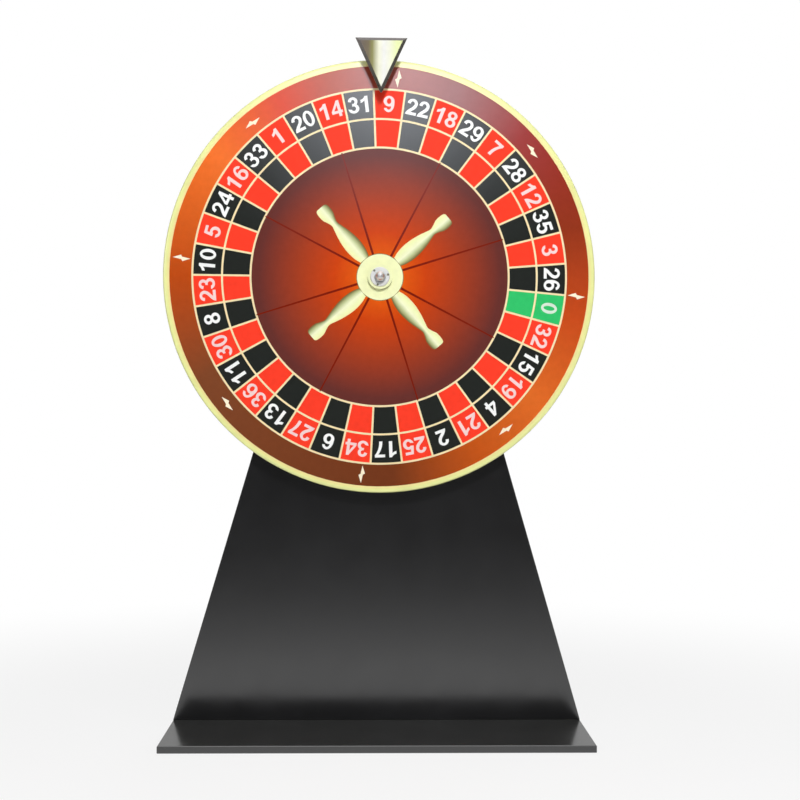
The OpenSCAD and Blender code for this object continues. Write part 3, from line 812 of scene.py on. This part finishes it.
def plated_steel(name, colour, roughness, blotch):
    """Plated steel: metal reflections that are broken by fine scratches and a blotchy plating."""
    material, tree, shader = new_material(name)
    place = add(tree, "ShaderNodeTexCoord").outputs["Object"]
    plating = add(tree, "ShaderNodeTexNoise", {"Vector": place, "Scale": per_metre(blotch), "Detail": 4.0})
    scratch = add(tree, "ShaderNodeTexNoise", {"Vector": place, "Scale": per_metre(0.6), "Detail": 2.0})
    bump = add(
        tree, "ShaderNodeBump", {"Strength": 0.05, "Distance": mm(0.05), "Height": scratch.outputs["Fac"]},
    )
    mottle(
        tree, shader, colour, plating, shade=(0.85, 1.05), roughness=(roughness * 0.8, roughness * 1.25),
    )
    set_inputs(tree, shader, {"Normal": bump.outputs["Normal"], "Metallic": 1.0})
    return material


def turned_steel(name, colour, metallic):
    """Steel turned on a lathe: fine rings around the axle that spread the light.

    A silver lacquer over it, with a metallic share below 1, sends back part of the light matt.
    """
    material, tree, shader = new_material(name)
    place = add(tree, "ShaderNodeTexCoord").outputs["Object"]
    centred = add(tree, "ShaderNodeMapping", {"Vector": place, "Location": (0, 0, -AXIS_HEIGHT)})
    # The wave texture draws about this many rings in each unit of its scale's size
    rings_per_unit = 20
    rings = add(
        tree, "ShaderNodeTexWave",
        {"Vector": centred.outputs["Vector"], "Scale": per_metre(0.7) / rings_per_unit, "Distortion": 0.4},
        wave_type="RINGS", rings_direction="Y",
    )
    stain = add(tree, "ShaderNodeTexNoise", {"Vector": centred.outputs["Vector"], "Scale": per_metre(6)})
    bump = add(
        tree, "ShaderNodeBump", {"Strength": 0.04, "Distance": mm(0.05), "Height": rings.outputs["Fac"]},
    )
    mottle(tree, shader, colour, stain, shade=(0.94, 1.03), roughness=(0.28, 0.36))
    set_inputs(tree, shader, {"Normal": bump.outputs["Normal"], "Metallic": metallic})
    return material


def gold_foil_colour(tree):
    """Printed reflection of a polished gold bar, from dark on its left to pale on its right."""
    place = add(tree, "ShaderNodeTexCoord").outputs["Object"]
    across = add(tree, "ShaderNodeSeparateXYZ", {"Vector": place}).outputs["X"]
    share = add(
        tree, "ShaderNodeMapRange", {"Value": across, "From Min": pointer_low.x, "From Max": pointer_high.x},
    )
    return add(
        tree, "ShaderNodeValToRGB", {"Fac": share.outputs["Result"]},
        stops=((0.1, "#6D645E"), (0.25, "#766B57"), (0.33, "#8C8A59"), (0.45, "#E4E4CC"), (0.55, "#E7E7E2"),
               (0.66, "#E7E8D4"), (0.8, "#E0E8AC")),
    ).outputs["Color"]


def finish_nodes(material, *names):
    """Gives CAD nodes a material."""
    for name in names:
        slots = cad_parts[name].data.materials
        slots.clear()
        slots.append(material)


class GAME_WHEEL_OT_boards(bpy.types.Operator):
    """Finish the boards of the stand and the wheel"""

    bl_idname = "game_wheel.boards"
    bl_label = "Boards"

    def execute(self, context):
        laminate = black_laminate("black_melamine_board", finish_settings().board)
        finish_nodes(
            laminate, "base_board", "back_panel", "gusset_left", "gusset_right", "pointer_spacer",
            "wheel_disc",
        )
        return {"FINISHED"}


class GAME_WHEEL_OT_trim(bpy.types.Operator):
    """Finish the edge band, the hub and the pointer"""

    bl_idname = "game_wheel.trim"
    bl_label = "Trim and Pointer"

    def execute(self, context):
        colours = finish_settings()
        band = coated_surface("pale_gold_metallised_trim", trim_colour, roughness=0.2, ior=1.75)
        coated = coated_surface("pale_gold_coated_aluminium", colours.hub, roughness=0.35, ior=1.5)
        finish_nodes(band, "edge_band")
        finish_nodes(coated, "hub_housing")
        finish_nodes(beveled_acrylic("smoked_acrylic", colours.pointer), "pointer_plate")
        finish_nodes(printed_vinyl("vinyl_print_gold_foil", gold_foil_colour, gloss=0.01), "pointer_face")
        return {"FINISHED"}


class GAME_WHEEL_OT_metal(bpy.types.Operator):
    """Finish the axle, the bearings and the fasteners"""

    bl_idname = "game_wheel.metal"
    bl_label = "Metal Parts"

    def execute(self, context):
        zinc = plated_steel("zinc_plated_steel", linear("#C6C6BC"), roughness=0.35, blotch=8)
        nickel = turned_steel("satin_nickel_plate", linear("#E6E6E6"), metallic=0.85)
        ground = plated_steel("ground_bearing_steel", linear("#C8C8CC"), roughness=0.2, blotch=4)
        turned = turned_steel("turned_steel", linear("#C4C4C6"), metallic=1.0)
        lacquered = turned_steel("silver_lacquered_steel", linear("#EAEAE6"), metallic=0.4)
        dull = plated_steel("dull_zinc_plate", linear("#A3A38C"), roughness=0.4, blotch=3)
        finish_nodes(
            zinc, "gusset_brackets", "bracket_screws", "base_screws", "pointer_screws", "pointer_washers",
            "axle_bolt", "rear_washer", "panel_washer", "panel_nut", "hub_screws",
        )
        finish_nodes(nickel, "acorn_nut", "front_washer")
        finish_nodes(lacquered, "bearing_cover")
        finish_nodes(
            turned, "axle_spacer", "bearing_spacer", "front_collar", "bearing_shields", "rear_cage",
            "front_cage",
        )
        finish_nodes(
            ground, "rear_inner_ring", "front_inner_ring", "rear_outer_ring", "front_outer_ring",
            "rear_balls", "front_balls",
        )
        finish_nodes(dull, "cover_screws")
        return {"FINISHED"}


# Stage

def area_lamp(name, power, place, target, size):
    """Soft lamp that the camera doesn't see, with its place and its width and height in metres."""
    data = bpy.data.lights.new(name, "AREA")
    data.shape = "RECTANGLE"
    data.size, data.size_y = size
    data.energy = power
    lamp = bpy.data.objects.new(name, data)
    bpy.context.collection.objects.link(lamp)
    lamp.location = place
    lamp.rotation_euler = (Vector(target) - Vector(place)).to_track_quat("-Z", "Y").to_euler()
    lamp.visible_camera = False
    return lamp


def soften_edges(lamp):
    """Lets the light of a panel fade from its middle to its edges, as cloth in front of a lamp does."""
    lamp.use_nodes = True
    tree = lamp.node_tree
    # Places on the panel run from 0 to 1 in both directions
    middle = (0.5, 0.5, 0)
    edge_distance = 0.5
    place = add(tree, "ShaderNodeNewGeometry").outputs["Parametric"]
    away = add(tree, "ShaderNodeVectorMath", {0: place, 1: middle}, operation="DISTANCE")
    fade = add(
        tree, "ShaderNodeMapRange",
        {"Value": away.outputs["Value"], "From Max": edge_distance, "To Min": 1.0, "To Max": 0.0},
    )
    glow = add(tree, "ShaderNodeMath", {0: fade.outputs["Result"], 1: 2.0}, operation="POWER")
    set_inputs(tree, tree.nodes["Emission"], {"Strength": glow.outputs["Value"]})


def floor_material(colour):
    """Matt pale floor that keeps the shadows by the stand and turns into the white backdrop further out; in
    reflections it glows with a painted pool of light.
    """
    material, tree, shader = new_material("matt_studio_floor")
    place = add(tree, "ShaderNodeTexCoord").outputs["Object"]
    distance = add(tree, "ShaderNodeVectorMath", {0: place}, operation="LENGTH").outputs["Value"]
    backdrop = add(
        tree, "ShaderNodeMapRange",
        {"Value": distance, "From Min": 0.4, "From Max": 1.5, "To Min": 0.8, "To Max": 1.0},
        interpolation_type="SMOOTHSTEP",
    )
    # In reflections the floor glows with a painted pool of light, which falls off with the distance in
    # metres
    reach = 5
    painted_light_falloff = ((0.5, "#FFFFFF"), (1.1, "#C6C6C6"), (1.5, "#A2A2A2"), (2.2, "#7C7C7C"), (5.0, "#545454"))
    share = add(tree, "ShaderNodeMapRange", {"Value": distance, "From Max": reach})
    painted_light_pool = add(
        tree, "ShaderNodeValToRGB", {"Fac": share.outputs["Result"]},
        stops=[(metres / reach, code) for metres, code in painted_light_falloff],
    )
    path = add(tree, "ShaderNodeLightPath")
    seen = add(
        tree, "ShaderNodeMath",
        {0: backdrop.outputs["Result"], 1: path.outputs["Is Camera Ray"], 2: path.outputs["Is Glossy Ray"]},
        operation="MULTIPLY_ADD",
    )
    # Colour of the glow: white for the camera, the painted pool of light in reflections
    shade = add(
        tree, "ShaderNodeMix",
        {"Factor": path.outputs["Is Glossy Ray"], "A": linear("#FFFFFF"), "B": painted_light_pool.outputs["Color"]},
        data_type="RGBA",
    )
    white = add(tree, "ShaderNodeEmission", {"Color": shade.outputs["Result"], "Strength": 1.0})
    mixed = add(
        tree, "ShaderNodeMixShader",
        {0: seen.outputs["Value"], 1: shader.outputs["BSDF"], 2: white.outputs["Emission"]},
    )
    set_inputs(tree, tree.nodes["Material Output"], {"Surface": mixed.outputs["Shader"]})
    set_inputs(tree, shader, {"Base Color": colour, "Roughness": 0.9})
    return material


def studio_world(ambient):
    """White backdrop for the camera.

    In reflections it is white overhead, half as bright behind the stand and dim in front of it.
    """
    world = bpy.data.worlds.new("studio")
    world.use_nodes = True
    tree = world.node_tree
    direction = add(tree, "ShaderNodeTexCoord").outputs["Generated"]
    way = add(tree, "ShaderNodeSeparateXYZ", {"Vector": direction})
    behind = add(
        tree, "ShaderNodeMapRange",
        {"Value": way.outputs["Y"], "From Min": -0.1, "From Max": 0.3, "To Max": 0.5},
        interpolation_type="SMOOTHSTEP",
    )
    overhead = add(
        tree, "ShaderNodeMapRange", {"Value": way.outputs["Z"], "From Min": 0.4, "From Max": 0.75},
        interpolation_type="SMOOTHSTEP",
    )
    bright = add(
        tree, "ShaderNodeMath", {0: behind.outputs["Result"], 1: overhead.outputs["Result"]},
        operation="MAXIMUM",
    )
    path = add(tree, "ShaderNodeLightPath")
    clear = add(
        tree, "ShaderNodeMath",
        {0: path.outputs["Is Glossy Ray"], 1: path.outputs["Is Transmission Ray"]}, operation="MAXIMUM",
    )
    seen = add(
        tree, "ShaderNodeMath", {0: clear.outputs["Value"], 1: bright.outputs["Value"]},
        operation="MULTIPLY",
    )
    white = add(
        tree, "ShaderNodeMath", {0: seen.outputs["Value"], 1: path.outputs["Is Camera Ray"]},
        operation="MAXIMUM",
    )
    strength = add(
        tree, "ShaderNodeMapRange", {"Value": white.outputs["Value"], "To Min": ambient, "To Max": 1.0},
    )
    set_inputs(
        tree, tree.nodes["Background"], {"Color": linear("#FFFFFF"), "Strength": strength.outputs["Result"]},
    )
    return world


def place_camera():
    """Camera of the photograph, with its place in metres and its turns in radians."""
    place = (-0.01132, -2.15648, 0.45923)
    yaw, pitch, roll = 0.0367, -0.0264, -0.0063
    right = Vector((math.cos(yaw), -math.sin(yaw), 0))
    forward = Vector((math.sin(yaw) * math.cos(pitch), math.cos(yaw) * math.cos(pitch), math.sin(pitch)))
    up = right.cross(forward)
    rolled_right = math.cos(roll) * right - math.sin(roll) * up
    rolled_up = math.sin(roll) * right + math.cos(roll) * up
    data = bpy.data.cameras.new("camera")
    data.lens = 68.19
    data.sensor_width = 36
    data.shift_x = -0.0332
    data.shift_y = 0.0564
    camera = bpy.data.objects.new("camera", data)
    bpy.context.collection.objects.link(camera)
    turn = Matrix((rolled_right, rolled_up, -forward)).transposed().to_4x4()
    camera.matrix_world = Matrix.Translation(place) @ turn
    bpy.context.scene.camera = camera


class GAME_WHEEL_OT_stage(bpy.types.Operator):
    """Set the floor, the lamps, the backdrop and the camera"""

    bl_idname = "game_wheel.stage"
    bl_label = "Studio Stage"

    def execute(self, context):
        settings = stage_settings()
        floor_half_width = 8
        bm = bmesh.new()
        bmesh.ops.create_grid(bm, x_segments=1, y_segments=1, size=floor_half_width)
        mesh = bpy.data.meshes.new("floor")
        bm.to_mesh(mesh)
        bm.free()
        mesh.materials.append(floor_material(settings.floor))
        floor = bpy.data.objects.new("floor", mesh)
        context.collection.objects.link(floor)

        wheel_centre = (0, 0, AXIS_HEIGHT)
        # The key lamp gives the pointer its shadow. It is left out of reflections, where the softbox behind
        # it glows instead.
        key = area_lamp("key_lamp", settings.key_power, (0.1, -2.3, 1.5), wheel_centre, size=(0.15, 0.15))
        key.visible_glossy = False
        softbox = area_lamp(
            "softbox", settings.softbox_power, (0.03, -2.35, 1.46), wheel_centre, size=(1.34, 1.34),
        )
        softbox.data.color = linear("#F1F5FF")[:3]
        soften_edges(softbox.data)
        area_lamp("right_lamp", settings.right_power, (1.5, -1.75, 1.2), wheel_centre, size=(0.4, 0.6))
        area_lamp("left_lamp", settings.left_power, (-1.4, -2.2, 1.0), wheel_centre, size=(0.4, 0.6))
        area_lamp("top_lamp", settings.top_power, (0, -0.5, 2.1), (0, -0.5, 0), size=(1.2, 1.2))
        area_lamp("back_lamp", settings.back_power, (0.5, 2.2, 1.7), wheel_centre, size=(1.2, 1.2))

        context.scene.world = studio_world(settings.ambient)
        context.scene.view_settings.view_transform = "Standard"
        place_camera()
        return {"FINISHED"}


# Panel and registration

OPERATORS = (
    GAME_WHEEL_OT_printed_sheet,
    GAME_WHEEL_OT_cell_lines,
    GAME_WHEEL_OT_cone_lines,
    GAME_WHEEL_OT_pocket_numbers,
    GAME_WHEEL_OT_deflectors,
    GAME_WHEEL_OT_turret_arms,
    GAME_WHEEL_OT_boards,
    GAME_WHEEL_OT_trim,
    GAME_WHEEL_OT_metal,
    GAME_WHEEL_OT_stage,
)


class GAME_WHEEL_PT_looks(bpy.types.Panel):
    """Steps that dress the wheel"""

    bl_idname = "GAME_WHEEL_PT_looks"
    bl_label = "Game Wheel"
    bl_space_type = "VIEW_3D"
    bl_region_type = "UI"
    bl_category = "Game Wheel"

    def draw(self, context):
        for operator in OPERATORS:
            self.layout.operator(operator.bl_idname)


CLASSES = (DialSettings, FinishSettings, StageSettings, *OPERATORS, GAME_WHEEL_PT_looks)


def register():
    for item in CLASSES:
        bpy.utils.register_class(item)
    bpy.types.Scene.game_wheel_dial = bpy.props.PointerProperty(type=DialSettings)
    bpy.types.Scene.game_wheel_finish = bpy.props.PointerProperty(type=FinishSettings)
    bpy.types.Scene.game_wheel_stage = bpy.props.PointerProperty(type=StageSettings)


def unregister():
    del bpy.types.Scene.game_wheel_stage
    del bpy.types.Scene.game_wheel_finish
    del bpy.types.Scene.game_wheel_dial
    for item in reversed(CLASSES):
        bpy.utils.unregister_class(item)


def main():
    register()
    bpy.ops.game_wheel.printed_sheet()
    bpy.ops.game_wheel.cell_lines()
    bpy.ops.game_wheel.cone_lines()
    bpy.ops.game_wheel.pocket_numbers()
    bpy.ops.game_wheel.deflectors()
    bpy.ops.game_wheel.turret_arms()
    bpy.ops.game_wheel.boards()
    bpy.ops.game_wheel.trim()
    bpy.ops.game_wheel.metal()
    bpy.ops.game_wheel.stage()


if __name__ == "__main__":
    main()
